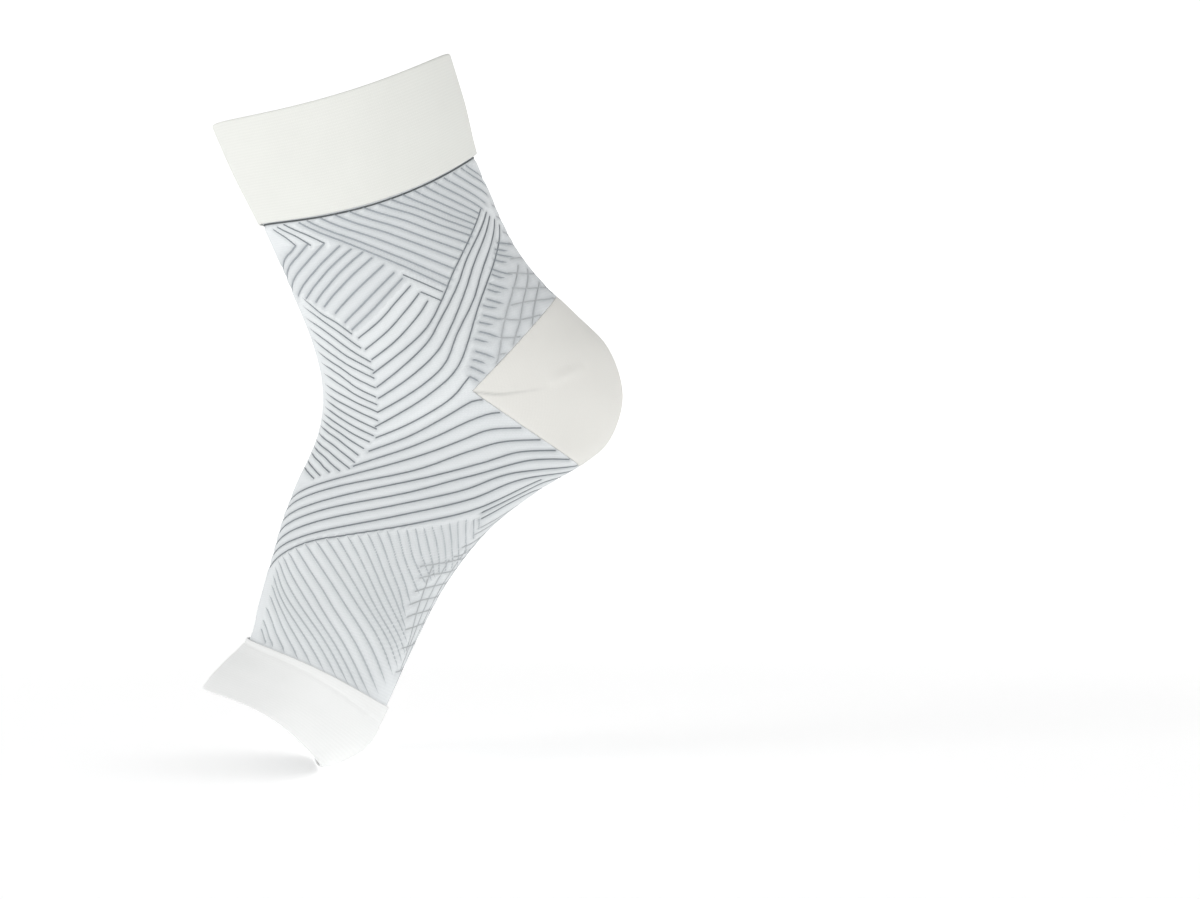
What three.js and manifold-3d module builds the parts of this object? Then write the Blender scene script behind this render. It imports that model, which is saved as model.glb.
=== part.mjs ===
// Open-toe ankle compression sleeve in its worn shape: a knitted tube that bends at the ankle, with
// a turned double cuff round the leg, a pocket for the heel and a turned band round the forefoot.
// Lengths are millimetres and +Z is up. X runs from the toes (-X) to the heel (+X), Y runs across
// the foot, and the origin is the middle of the ankle.
import * as THREE from "three";
import { LoftGeometry } from "three/addons/geometries/LoftGeometry.js";
import { mergeVertices } from "three/addons/utils/BufferGeometryUtils.js";
import Module from "manifold-3d";

// Knit walls, and the clearance between neighbouring pieces
const BODY_WALL = 1.3;
const HEEL_WALL = 1.6;
const HEEL_PROUD = 0.2;
const SEAM_GAP = 0.3;

// Turned bands: two leaves that lie together, and part round the edge of the body at the hem.
// tuck is how far the body's edge reaches in between the leaves, roll rounds the folded rim, and
// steps counts the facets along the band.
const CUFF = { rim: "cuff_rim", hem: "cuff_hem", leaf: 0.9, tuck: 7, roll: 0.6, steps: 4 };
const TOE = { rim: "toe_rim", hem: "toe_hem", leaf: 0.7, tuck: 6, roll: 0.5, steps: 4 };
const LEAF_EASE = 4; // length over which the inner leaf bends out round the body's edge
const LEAF_SETBACK = 1; // how far the inner leaf stops short of the hem

// Facets round the tube, and rings along a plain wall for each interval of the section table
const AROUND = 32;
const RINGS_PER_SECTION = 2;
const STATION_STEP = 0.01; // step of the walk that turns lengths along the tube into stations
const SOLE_START = -0.2; // where an oval starts to square off, from -1 at its front to 1 at its back

// Knit ribs round the leg, the ankle and the arch: how many there are, and the grooves between
// them, whose width is a share of the spacing of the ribs
const RIB_COUNT = 30;
const GROOVE_SHARE = 0.28;
const GROOVE_DEPTH = 0.5;

// Heel pocket: a wedge seen from the side, from its point below the ankle to where its two edges
// reach the back of the heel and the sole. The lower edge bulges towards the sole.
const HEEL_POINT = new THREE.Vector2(11.5, -11.4);
const HEEL_UPPER = new THREE.Vector2(45, 23);
const HEEL_LOWER = new THREE.Vector2(54, -38.4);
const HEEL_BULGE = 0.8;
const HEEL_OVERCUT = 1.6; // the wedge's edges run on to this share of their length, past the knit
const WEDGE_WIDTH = 120;
const WEDGE_CURVE_STEPS = 6;

// Cross-sections of the body's outer face, from the leg to the toes. Each is an oval between a
// front point (shin, instep) and a back point (calf, heel, sole) in the XZ plane. taper widens the
// oval towards its back, flat squares its back half into a sole, and sag moves its two sides along
// the tube, positive towards the toes.
const COLUMNS = ["name", "frontX", "frontZ", "backX", "backZ", "halfWidth", "taper", "flat", "sag"];
const SECTIONS = namedRows(COLUMNS, [
  ["cuff_rim", -76, 82.3, 5.7, 108, 34, 0.05, 0, 4.6],
  ["cuff_mid", -68.6, 65.5, 11.2, 90, 33, 0.02, 0, 5.2],
  ["cuff_hem", -59.5, 47.5, 15.5, 72.5, 31.5, -0.02, 0, 6],
  ["shank", -54, 35.5, 21, 59.5, 31, -0.06, 0, 5],
  ["ankle_top", -48, 21.5, 26, 48, 31, -0.1, 0, 3],
  ["ankle_neck", -43, 9.5, 32, 37.5, 32, -0.16, 0, 1.5],
  ["achilles", -40, 0, 40.5, 27, 33.5, -0.2, 0, 0.5],
  ["heel_top", -38.5, -7, 52, 16, 34.5, -0.2, 0, 0],
  ["heel_back", -38, -14, 63.5, 4, 34.5, -0.16, 0, 0],
  ["heel_rear", -38.5, -20, 68.5, -12.5, 34, -0.1, 0.1, 0],
  ["heel_base", -40, -27, 64, -28, 33.5, -0.04, 0.3, 0],
  ["heel_sole", -43, -34.5, 54, -37, 34, 0.03, 0.6, 0],
  ["arch_rear", -47, -43, 37, -47, 35, 0.08, 0.8, 0],
  ["arch", -52, -55.5, 20, -60, 36.5, 0.13, 0.9, 0],
  ["instep", -56, -69.5, 5, -78.5, 39, 0.17, 1, -1.5],
  ["ball_rear", -60.5, -85.5, -6, -98.5, 43, 0.2, 1, -3],
  ["toe_hem", -63.9, -98.5, -17, -121.5, 45.5, 0.2, 1, -2.8],
  ["toe_ball", -72.1, -107.2, -23.5, -134, 45.5, 0.18, 1, -4.6],
  ["toe_fore", -76.3, -111.7, -32, -140, 45, 0.17, 1, -5.8],
  ["toe_rim", -79.7, -116.2, -40.5, -142.8, 44, 0.16, 1, -6.6],
]);
const STATION = Object.fromEntries(SECTIONS.map((section, index) => [section.name, index]));

// Run of the ribs: how far along the tube, in sections, a rib lies from its own section at each of
// these angles from the shin, positive towards the toes. Above the ankle the ribs turn upwards
// beside the shin, round the ankle they turn down there and sweep up behind it, and round the arch
// they climb from the instep to the heel.
const RIB_ANGLES = { shin: 0, turn: 45, back: 180 };
const RIB_COLUMNS = ["section", "shin", "turn", "back"];
const RIB_RUNS = namedRows(RIB_COLUMNS, [
  ["cuff_hem", 0, 0, 0],
  ["shank", 0, -0.6, 0.5],
  ["ankle_top", 0, -0.8, 0.6],
  ["ankle_neck", 0, -0.2, 0.2],
  ["achilles", 0, 0.5, -0.4],
  ["heel_top", 0.1, 1, -0.9],
  ["heel_back", 0.3, 1.3, -1.2],
  ["heel_rear", 0.6, 1.4, -1.3],
  ["heel_base", 0.9, 1.4, -1.3],
  ["heel_sole", 1.2, 1.3, -1.2],
  ["arch_rear", 1.3, 1.1, -1.1],
  ["arch", 1.1, 0.8, -1],
  ["instep", 0.6, 0.4, -0.6],
  ["ball_rear", 0, 0, 0],
]);
const RIBS_END = "arch"; // the forefoot beyond it is plain

// Each piece's colour and roughness
const FINISHES = {
  top_cuff: { color: 0xeaebe6, roughness: 0.9 },
  ankle_body: { color: 0xd4dbdd, roughness: 0.85 },
  heel_cup: { color: 0xe2e3dc, roughness: 0.9 },
  toe_band: { color: 0xeef1f0, roughness: 0.9 },
};

/** Table rows as objects that are read by column name. */
function namedRows(columns, rows) {
  return rows.map((row) => Object.fromEntries(row.map((value, index) => [columns[index], value])));
}

/** Value at a fractional place in a list, on a Catmull-Rom curve through its entries. */
function curveThrough(values, place) {
  const last = values.length - 1;
  const index = THREE.MathUtils.clamp(Math.floor(place), 0, last - 1);
  const t = place - index;
  const entry = (step) => values[THREE.MathUtils.clamp(index + step, 0, last)];
  const [before, start, end, after] = [-1, 0, 1, 2].map(entry);
  const slopeIn = (end - before) / 2;
  const slopeOut = (after - start) / 2;
  const square = 3 * (end - start) - 2 * slopeIn - slopeOut;
  const cube = 2 * (start - end) + slopeIn + slopeOut;
  return start + t * (slopeIn + t * (square + t * cube));
}

/** Section at a fractional station of the table. */
function sectionAt(station) {
  const column = (name) => SECTIONS.map((section) => section[name]);
  return Object.fromEntries(COLUMNS.slice(1).map((name) => [name, curveThrough(column(name), station)]));
}

/** Station of a rib at an angle from the shin. */
function ribStation(rib, angle) {
  const degrees = THREE.MathUtils.radToDeg(Math.min(angle, 2 * Math.PI - angle));
  const place = rib - STATION[RIB_RUNS[0].section];
  const run = (name) => curveThrough(RIB_RUNS.map((row) => row[name]), place);
  const { shin, turn, back } = RIB_ANGLES;
  const { mapLinear } = THREE.MathUtils;
  if (degrees < turn) return rib + mapLinear(degrees, shin, turn, run("shin"), run("turn"));
  return rib + mapLinear(degrees, turn, back, run("turn"), run("back"));
}

/** Middle of the tube at a station, in the XZ plane. */
function middleAt(station) {
  const { frontX, frontZ, backX, backZ } = sectionAt(station);
  return new THREE.Vector2((frontX + backX) / 2, (frontZ + backZ) / 2);
}

/** Station that lies a length along the tube's middle from another, negative towards the leg. */
function stationFrom(start, length) {
  const step = Math.sign(length) * STATION_STEP;
  let station = start;
  let walked = 0;
  while (walked < Math.abs(length)) {
    walked += middleAt(station).distanceTo(middleAt(station + step));
    station += step;
  }
  return station;
}

/** Stations spread evenly from one to another, both included. */
function spread(from, to, count) {
  return Array.from({ length: count + 1 }, (_, index) => THREE.MathUtils.lerp(from, to, index / count));
}

/** Point of the tube at a station and an angle from the front, set in by inset from the outer face. */
function tubePoint(station, angle, inset) {
  const section = sectionAt(station);
  const middle = middleAt(station);
  const forward = new THREE.Vector2(section.frontX, section.frontZ).sub(middle);
  const halfDepth = forward.length();
  forward.normalize();
  const along = new THREE.Vector2(-forward.y, forward.x);

  const power = 2 + section.flat * THREE.MathUtils.smoothstep(-Math.cos(angle), SOLE_START, 1);
  const cosine = Math.abs(Math.cos(angle)) ** power;
  const sine = Math.abs(Math.sin(angle)) ** power;
  const reach = (cosine + sine) ** (-1 / power);
  const depth = reach * Math.cos(angle);
  const across = reach * Math.sin(angle) * (1 - section.taper * depth);

  const place = middle
    .addScaledVector(forward, (halfDepth - inset) * depth)
    .addScaledVector(along, section.sag * Math.sin(angle) ** 2);
  return new THREE.Vector3(place.x, (section.halfWidth - inset) * across, place.y);
}

/** Closed ring solid: a profile of [station, inset] corners carried once round the tube. Corners
 * that are marked as ribs follow the run of the ribs. */
function ringGeometry(profile) {
  const angles = Array.from({ length: AROUND }, (_, index) => (index / AROUND) * 2 * Math.PI);
  const rings = profile.map(([station, inset, isRib]) =>
    angles.map((angle) => tubePoint(isRib ? ribStation(station, angle) : station, angle, inset)),
  );
  return weld(new LoftGeometry([...rings, rings[0]]));
}

/** Geometry with its coincident corners joined, so that it is one closed surface. */
function weld(geometry) {
  const surface = new THREE.BufferGeometry().copy(geometry);
  surface.deleteAttribute("normal");
  surface.deleteAttribute("uv");
  return mergeVertices(surface);
}

/** Corners along a plain face of knit between two stations, marked where they follow the ribs. */
function plainFace(from, to, inset, isRib = false) {
  const count = Math.round(Math.abs(to - from) * RINGS_PER_SECTION);
  return spread(from, to, count).map((station) => [station, inset, isRib]);
}

/** Corners along the ribbed face of the body: the two edges and the floor of each groove. */
function ribbedFace(from, to) {
  const spacing = (to - from) / RIB_COUNT;
  const halfWidth = (spacing * GROOVE_SHARE) / 2;
  const grooves = spread(from + spacing, to, RIB_COUNT - 1);
  return grooves.flatMap((middle) => [
    [middle - halfWidth, 0, true],
    [middle, GROOVE_DEPTH, true],
    [middle + halfWidth, 0, true],
  ]);
}

/** Profile of a turned band, from its hem over the folded rim to the end of its inner leaf. */
function turnedProfile({ rim, hem, leaf, tuck, roll, steps }) {
  const rimStation = STATION[rim];
  const hemStation = STATION[hem];
  const inward = Math.sign(hemStation - rimStation);
  const fromRim = (length) => stationFrom(rimStation, inward * length);
  const fromHem = (length) => stationFrom(hemStation, -inward * length);

  const outer = -(SEAM_GAP + leaf);
  const folded = outer + 2 * leaf;
  const slotTop = fromHem(tuck + SEAM_GAP);
  const inner = BODY_WALL + SEAM_GAP + leaf;
  const parting = fromHem(tuck + SEAM_GAP + LEAF_EASE);
  const outerFace = spread(hemStation, fromRim(roll), steps).map((station) => [station, outer]);
  const innerFace = spread(fromRim(roll), parting, steps).map((station) => [station, folded]);
  const profile = [
    ...outerFace,
    [rimStation, outer + roll],
    [rimStation, folded - roll],
    ...innerFace,
    [slotTop, inner],
    [fromHem(LEAF_SETBACK), inner],
    [fromHem(LEAF_SETBACK), inner - leaf],
    [slotTop, inner - leaf],
    [slotTop, -SEAM_GAP],
    [hemStation, -SEAM_GAP],
  ];
  return inward > 0 ? profile.reverse() : profile;
}

/** Heel wedge as a prism across the foot, moved out past its edges by clearance. */
function wedgeGeometry(clearance) {
  const upper = HEEL_UPPER.clone().sub(HEEL_POINT);
  const lower = HEEL_LOWER.clone().sub(HEEL_POINT);
  const bisector = upper.clone().normalize().add(lower.clone().normalize()).normalize();
  const halfAngle = bisector.angleTo(upper);
  const point = HEEL_POINT.clone().addScaledVector(bisector, -clearance / Math.sin(halfAngle));
  const outward = new THREE.Vector2(lower.y, -lower.x).normalize();
  const upperEnd = point.clone().addScaledVector(upper, HEEL_OVERCUT);
  const lowerEnd = point.clone().addScaledVector(lower, HEEL_OVERCUT);
  const bulge = point.clone().add(lowerEnd).divideScalar(2).addScaledVector(outward, 2 * HEEL_BULGE);

  const outline = new THREE.Shape()
    .moveTo(point.x, point.y)
    .quadraticCurveTo(bulge.x, bulge.y, lowerEnd.x, lowerEnd.y)
    .lineTo(lowerEnd.x + HEEL_UPPER.x, lowerEnd.y)
    .lineTo(lowerEnd.x + HEEL_UPPER.x, upperEnd.y)
    .lineTo(upperEnd.x, upperEnd.y);
  const options = { depth: WEDGE_WIDTH, bevelEnabled: false, curveSegments: WEDGE_CURVE_STEPS };
  const prism = new THREE.ExtrudeGeometry(outline, options);
  return weld(prism.rotateX(Math.PI / 2).translate(0, WEDGE_WIDTH / 2, 0));
}

const wasm = await Module();
wasm.setup();

/** Solid of a closed geometry, for cutting. */
function solidOf(geometry) {
  const vertProperties = new Float32Array(geometry.attributes.position.array);
  const triVerts = new Uint32Array(geometry.index.array);
  return new wasm.Manifold(new wasm.Mesh({ numProp: 3, vertProperties, triVerts }));
}

/** Geometry of a cut solid. */
function geometryOf(solid) {
  const { vertProperties, triVerts } = solid.getMesh();
  const geometry = new THREE.BufferGeometry();
  geometry.setAttribute("position", new THREE.BufferAttribute(vertProperties, 3));
  geometry.setIndex(new THREE.BufferAttribute(triVerts, 1));
  return geometry;
}

/** Ribbed tube of the body, its ends tucked into the two bands, cut open for the heel pocket. */
function ankleBody() {
  const top = stationFrom(STATION.cuff_hem, -CUFF.tuck);
  const end = stationFrom(STATION.toe_hem, TOE.tuck);
  const outer = [
    ...plainFace(top, STATION.cuff_hem, 0),
    ...ribbedFace(STATION.cuff_hem, STATION[RIBS_END]),
    ...plainFace(STATION[RIBS_END], STATION.ball_rear, 0, true).slice(1),
    ...plainFace(STATION.ball_rear, end, 0).slice(1),
  ];
  const tube = solidOf(ringGeometry([...outer, ...plainFace(end, top, BODY_WALL)]));
  return geometryOf(tube.subtract(solidOf(wedgeGeometry(SEAM_GAP))));
}

/** Heel pocket: the part of a thicker tube that lies in the wedge. */
function heelCup() {
  const outer = plainFace(STATION.ankle_top, STATION.arch, -HEEL_PROUD);
  const inner = plainFace(STATION.arch, STATION.ankle_top, HEEL_WALL - HEEL_PROUD);
  return geometryOf(solidOf(ringGeometry([...outer, ...inner])).intersect(solidOf(wedgeGeometry(0))));
}

const PIECES = {
  top_cuff: ringGeometry(turnedProfile(CUFF)),
  ankle_body: ankleBody(),
  heel_cup: heelCup(),
  toe_band: ringGeometry(turnedProfile(TOE)),
};

const sleeve = new THREE.Group();
for (const [name, geometry] of Object.entries(PIECES)) {
  const material = new THREE.MeshStandardMaterial({ ...FINISHES[name], metalness: 0 });
  const piece = new THREE.Mesh(geometry, material);
  piece.name = name;
  sleeve.add(piece);
}

export default sleeve;
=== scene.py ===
"""Looks of an ankle compression sleeve: ribbed body, turned cuff, heel pocket and toe band."""
import logging
import math
from dataclasses import dataclass
from enum import Enum
from typing import Any, NamedTuple

import bmesh
import bpy
import numpy as np
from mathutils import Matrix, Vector
from mathutils.bvhtree import BVHTree
from mathutils.kdtree import KDTree


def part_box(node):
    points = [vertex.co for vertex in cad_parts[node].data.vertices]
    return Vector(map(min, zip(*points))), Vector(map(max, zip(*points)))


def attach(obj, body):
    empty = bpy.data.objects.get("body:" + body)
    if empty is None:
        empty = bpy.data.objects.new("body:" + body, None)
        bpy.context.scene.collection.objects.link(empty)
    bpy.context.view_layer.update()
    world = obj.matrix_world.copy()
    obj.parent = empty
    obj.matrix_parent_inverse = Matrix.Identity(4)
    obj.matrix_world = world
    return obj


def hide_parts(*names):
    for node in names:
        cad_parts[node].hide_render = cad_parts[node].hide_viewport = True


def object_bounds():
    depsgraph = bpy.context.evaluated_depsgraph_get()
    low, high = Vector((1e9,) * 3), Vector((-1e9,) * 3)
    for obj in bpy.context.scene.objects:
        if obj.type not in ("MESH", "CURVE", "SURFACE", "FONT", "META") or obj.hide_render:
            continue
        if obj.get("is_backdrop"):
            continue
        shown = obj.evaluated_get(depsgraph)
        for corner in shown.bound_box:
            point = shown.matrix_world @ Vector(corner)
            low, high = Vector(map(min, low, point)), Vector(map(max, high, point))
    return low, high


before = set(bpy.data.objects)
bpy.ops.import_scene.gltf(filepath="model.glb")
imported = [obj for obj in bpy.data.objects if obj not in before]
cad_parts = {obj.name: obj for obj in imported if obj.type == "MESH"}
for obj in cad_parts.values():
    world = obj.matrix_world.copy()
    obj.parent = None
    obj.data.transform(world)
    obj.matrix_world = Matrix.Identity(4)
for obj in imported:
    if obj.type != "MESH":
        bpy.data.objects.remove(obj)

Array = np.ndarray
Colour = tuple[float, float, float, float]
Line = tuple[tuple[float, float], ...]
Values = dict[Any, Any] | None
Piece = bpy.types.Object
Shell = bmesh.types.BMesh

LOG = logging.getLogger("sleeve")
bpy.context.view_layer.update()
BODY = "root"
MM = 0.001

# The knit's UV map, and the attribute that holds the painted shade beside the grooves and in the heel's
# crease, with each rib field's haze of grey
KNIT_MAP = "knit"
PAINTED_SHADE = "painted_shade"

# Millimetres: the body's wall, its clearances, and how far its ends tuck into the two bands
BODY_WALL = 1.3
SEAM_GAP = 0.3
HEEL_GAP = 0.06
CUFF_TUCK = 7.0
TOE_TUCK = 6.0

# Sign of the angles on the side that faces the camera, and on the other
NEAR_SIDE = -1
FAR_SIDE = 1


class Section(NamedTuple):
    """One ring of the sleeve in millimetres: its front and back in the side view, and its form across."""

    front_x: float
    front_z: float
    back_x: float
    back_z: float
    half_width: float
    taper: float
    flat: float
    sag: float


SECTIONS: dict[str, Section] = {
    "cuff_rim": Section(-76, 82.3, 5.7, 108, 34, 0.05, 0, 4.6),
    "cuff_mid": Section(-68.6, 65.5, 11.2, 90, 33, 0.02, 0, 5.2),
    "cuff_hem": Section(-59.5, 47.5, 15.5, 72.5, 31.5, -0.02, 0, 6),
    "shank": Section(-54, 35.5, 21, 59.5, 31, -0.06, 0, 5),
    "ankle_top": Section(-48, 21.5, 26, 48, 31, -0.1, 0, 3),
    "ankle_neck": Section(-43, 9.5, 32, 37.5, 32, -0.16, 0, 1.5),
    "achilles": Section(-40, 0, 40.5, 27, 33.5, -0.2, 0, 0.5),
    "heel_top": Section(-38.5, -7, 52, 16, 34.5, -0.2, 0, 0),
    "heel_back": Section(-38, -14, 63.5, 4, 34.5, -0.16, 0, 0),
    "heel_rear": Section(-38.5, -20, 68.5, -12.5, 34, -0.1, 0.1, 0),
    "heel_base": Section(-40, -27, 64, -28, 33.5, -0.04, 0.3, 0),
    "heel_sole": Section(-43, -34.5, 54, -37, 34, 0.03, 0.6, 0),
    "arch_rear": Section(-47, -43, 37, -47, 35, 0.08, 0.8, 0),
    "arch": Section(-52, -55.5, 20, -60, 36.5, 0.13, 0.9, 0),
    "instep": Section(-56, -69.5, 5, -78.5, 39, 0.17, 1, -1.5),
    "ball_rear": Section(-60.5, -85.5, -6, -98.5, 43, 0.2, 1, -3),
    "toe_hem": Section(-63.9, -98.5, -17, -121.5, 45.5, 0.2, 1, -2.8),
    "toe_ball": Section(-72.1, -107.2, -23.5, -134, 45.5, 0.18, 1, -4.6),
    "toe_fore": Section(-76.3, -111.7, -32, -140, 45, 0.17, 1, -5.8),
    "toe_rim": Section(-79.7, -116.2, -40.5, -142.8, 44, 0.16, 1, -6.6),
}


def curve_through(rows: Array, places: Array) -> Array:
    """Smooth curve through evenly spaced rows.

    Args:
        rows: one row of values for each whole place.
        places: where to read the curve, counted in rows.

    Returns:
        The rows' values at those places.
    """
    last = len(rows) - 1
    index = np.clip(np.floor(places).astype(int), 0, max(last - 1, 0))
    step = (places - index)[..., None]
    before, start, end, after = (rows[np.clip(index + k, 0, last)] for k in (-1, 0, 1, 2))
    slope_in, slope_out = (end - before) / 2, (after - start) / 2
    square = 3 * (end - start) - 2 * slope_in - slope_out
    cube = 2 * (start - end) + slope_in + slope_out
    return start + step * (slope_in + step * (square + step * cube))


class SleeveForm:
    """The worn form of the sleeve: a tube through the sections, read by station and angle."""

    SOLE_START = -0.2
    NUDGE = 1e-3
    RULER_STEPS = 2000

    def __init__(self) -> None:
        """Reads the sections and measures the tube's middle line."""
        self.rows = np.array(list(SECTIONS.values()), float)
        self.names = list(SECTIONS)
        self.ruler = np.linspace(0, len(self.names) - 1, self.RULER_STEPS)
        values = curve_through(self.rows, self.ruler)
        middles = (values[:, 0:2] + values[:, 2:4]) / 2
        steps = np.linalg.norm(np.diff(middles, axis=0), axis=1)
        self.lengths = np.concatenate([[0.0], np.cumsum(steps)])

    def station(self, name: str) -> float:
        """Station of a named section."""
        return float(self.names.index(name))

    def length_at(self, stations: Array | float) -> Array:
        """Millimetres along the middle line to these stations."""
        return np.interp(stations, self.ruler, self.lengths)

    def station_from(self, station: float, length: float) -> float:
        """Station that lies some millimetres along the middle line from another."""
        return float(np.interp(self.length_at(station) + length, self.lengths, self.ruler))

    def point(self, stations: Array, angles: Array, insets: Array | float = 0.0) -> Array:
        """Points of the tube.

        Args:
            stations: places along the sleeve, in sections.
            angles: turn round the tube from the shin, in radians.
            insets: millimetres in from the outer face of the body.

        Returns:
            Positions in metres, in the shared frame.
        """
        values = curve_through(self.rows, np.asarray(stations, float))
        front_x, front_z, back_x, back_z, half_width, taper, flat, sag = np.moveaxis(values, -1, 0)
        middle_x, middle_z = (front_x + back_x) / 2, (front_z + back_z) / 2
        half_depth = np.hypot(front_x - middle_x, front_z - middle_z)
        forward_x, forward_z = (front_x - middle_x) / half_depth, (front_z - middle_z) / half_depth
        cosine, sine = np.cos(angles), np.sin(angles)
        rise = np.clip((-cosine - self.SOLE_START) / (1 - self.SOLE_START), 0, 1)
        power = 2 + flat * rise * rise * (3 - 2 * rise)
        reach = (np.abs(cosine) ** power + np.abs(sine) ** power) ** (-1 / power)
        depth = reach * cosine
        across = reach * sine * (1 - taper * depth)
        out = (half_depth - insets) * depth
        droop = sag * sine**2
        x = middle_x + forward_x * out - forward_z * droop
        z = middle_z + forward_z * out + forward_x * droop
        return np.stack([x, (half_width - insets) * across, z], axis=-1) * MM

    def outward(self, stations: Array, angles: Array) -> Array:
        """Directions out of the tube.

        Args:
            stations: places along the sleeve, in sections.
            angles: turn round the tube, in radians.

        Returns:
            One vector for each place.
        """
        low, high = stations - self.NUDGE, stations + self.NUDGE
        along = self.point(high, angles) - self.point(low, angles)
        around = self.point(stations, angles + self.NUDGE) - self.point(stations, angles - self.NUDGE)
        normal = np.cross(around, along)
        return normal / np.linalg.norm(normal, axis=-1, keepdims=True)


@dataclass(frozen=True)
class HeelWedge:
    """Side view of the heel pocket's cut: a straight upper edge and a bowed lower one from one point."""

    point: tuple[float, float] = (11.5, -11.4)
    upper: tuple[float, float] = (45.0, 23.0)
    lower: tuple[float, float] = (54.0, -38.4)
    bulge: float = 0.8
    overcut: float = 1.6
    clearance: float = 0.0

    CUT_MARGIN = 2.0
    TOUCH = 1e-7

    def edges(self) -> tuple[Array, Array, Array, Array]:
        """The wedge's edges as vectors of the side view.

        Returns:
            Start point, inward normals of the upper and lower edges, and the lower edge itself.
        """
        start = np.array(self.point)
        upper, lower = np.array(self.upper) - start, np.array(self.lower) - start
        into_upper = np.array([upper[1], -upper[0]]) / np.linalg.norm(upper)
        into_lower = np.array([-lower[1], lower[0]]) / np.linalg.norm(lower)
        return start, into_upper, into_lower, lower

    def bow(self, places: Array) -> Array:
        """How far the lower edge bows out.

        Args:
            places: points of the side view in millimetres.

        Returns:
            Millimetres beside each point.
        """
        start, _, _, lower = self.edges()
        length = np.linalg.norm(lower)
        share = np.clip((places - start) @ (lower / length) / (length * self.overcut), 0, 1)
        return 4 * self.bulge * share * (1 - share)

    def depth(self, positions: Array) -> Array:
        """How deep points lie in the wedge.

        Args:
            positions: points in metres.

        Returns:
            Millimetres from the nearest edge, negative outside.
        """
        places = positions[..., [0, 2]] / MM
        start, into_upper, into_lower, _ = self.edges()
        under = (places - start) @ into_upper
        over = (places - start) @ into_lower + self.bow(places)
        return np.minimum(under, over) + self.clearance

    def cut(self, mesh: Shell, keep_inside: bool) -> None:
        """Cuts a closed shell along the wedge and closes the cut edge.

        Args:
            mesh: the shell, changed in place.
            keep_inside: keep the part in the wedge, or else the part outside it.
        """
        start, into_upper, into_lower, _ = self.edges()
        reach = (start[0] - 2 * self.clearance - self.CUT_MARGIN) * MM
        for inward, bowed in ((into_upper, 0), (into_lower, 1)):
            self.straighten(mesh, inward * bowed)
            faces = [f for f in mesh.faces if all(v.co.x > reach for v in f.verts)]
            edges = {e for f in faces for e in f.edges}
            verts = {v for f in faces for v in f.verts}
            origin = start - inward * self.clearance
            bmesh.ops.bisect_plane(
                mesh,
                geom=[*verts, *edges, *faces],
                dist=self.TOUCH,
                plane_co=(origin[0] * MM, 0, origin[1] * MM),
                plane_no=(inward[0], 0, inward[1]),
            )
            self.straighten(mesh, inward * -bowed)
        centres = np.array([f.calc_center_median() for f in mesh.faces])
        inside = self.depth(centres) > 0
        drop = [f for f, within in zip(list(mesh.faces), inside) if within != keep_inside]
        bmesh.ops.delete(mesh, geom=drop, context="FACES")
        rims = [e for e in mesh.edges if e.is_boundary]
        bmesh.ops.bridge_loops(mesh, edges=rims)
        bmesh.ops.recalc_face_normals(mesh, faces=mesh.faces[:])

    def straighten(self, mesh: Shell, way: Array) -> None:
        """Moves a shell by the bow, so that the lower edge is straight for its cut.

        Args:
            mesh: the shell, changed in place.
            way: side view direction of the move, or zero for none.
        """
        if not way.any():
            return
        verts = mesh.verts[:]
        places = np.array([(v.co.x, v.co.z) for v in verts]) / MM
        for vert, bow in zip(verts, self.bow(places)):
            vert.co.x += bow * way[0] * MM
            vert.co.z += bow * way[1] * MM


class Tone(Enum):
    """How dark a knitted line shows: darker yarn with painted groove shade, or for HEM_SHADOW a painted
    shadow.
    """

    DEEP = "deep"
    SOFT = "soft"
    FAINT = "faint"
    NET = "net"
    # painted shadow under the cuff's proud hem
    HEM_SHADOW = "hem"


class Groove(NamedTuple):
    """One knitted line: its field, its stations, its angles in radians and its strength from 0 to 1."""

    field: "RibField"
    stations: Array
    angles: Array
    strengths: Array


@dataclass(frozen=True)
class RibField:
    """Grooves between ribs, spread evenly over guide lines; each guide point is a station and degrees."""

    name: str
    guides: tuple[Line, ...]
    count: int
    tone: Tone = Tone.DEEP
    haze: float = 0.0
    fade_in: float = 0.0
    fade_out: float = 0.0

    FINE = 160
    FEWEST = 3
    THINNEST = 0.12

    def lines(self, form: SleeveForm, step: float) -> list[Groove]:
        """Grooves of one side of the sleeve.

        Args:
            form: the tube that they lie on.
            step: distance between points in metres.

        Returns:
            The grooves in the order of the guides.
        """
        guides = np.array(self.guides, float)
        rows = guides.reshape(len(guides), -1)
        grooves = []
        for place in np.linspace(0, len(guides) - 1, self.count):
            keys = curve_through(rows, np.array([place]))[0].reshape(-1, 2)
            fine = curve_through(keys, np.linspace(0, len(keys) - 1, self.FINE))
            fine[:, 1] = np.radians(np.clip(fine[:, 1], 0, 180))
            positions = form.point(fine[:, 0], fine[:, 1])
            ruler = np.concatenate([[0.0], np.cumsum(np.linalg.norm(np.diff(positions, axis=0), axis=1))])
            marks = np.linspace(0, ruler[-1], max(self.FEWEST, round(ruler[-1] / step) + 1))
            share = marks / ruler[-1]
            strength = np.ones_like(share)
            if self.fade_in:
                strength = np.minimum(strength, share / self.fade_in)
            if self.fade_out:
                strength = np.minimum(strength, (1 - share) / self.fade_out)
            grooves.append(Groove(
                self,
                np.interp(marks, ruler, fine[:, 0]),
                np.interp(marks, ruler, fine[:, 1]),
                np.clip(strength, self.THINNEST, 1),
            ))
        LOG.info("%s: %d lines a side", self.name, len(grooves))
        return grooves


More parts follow.
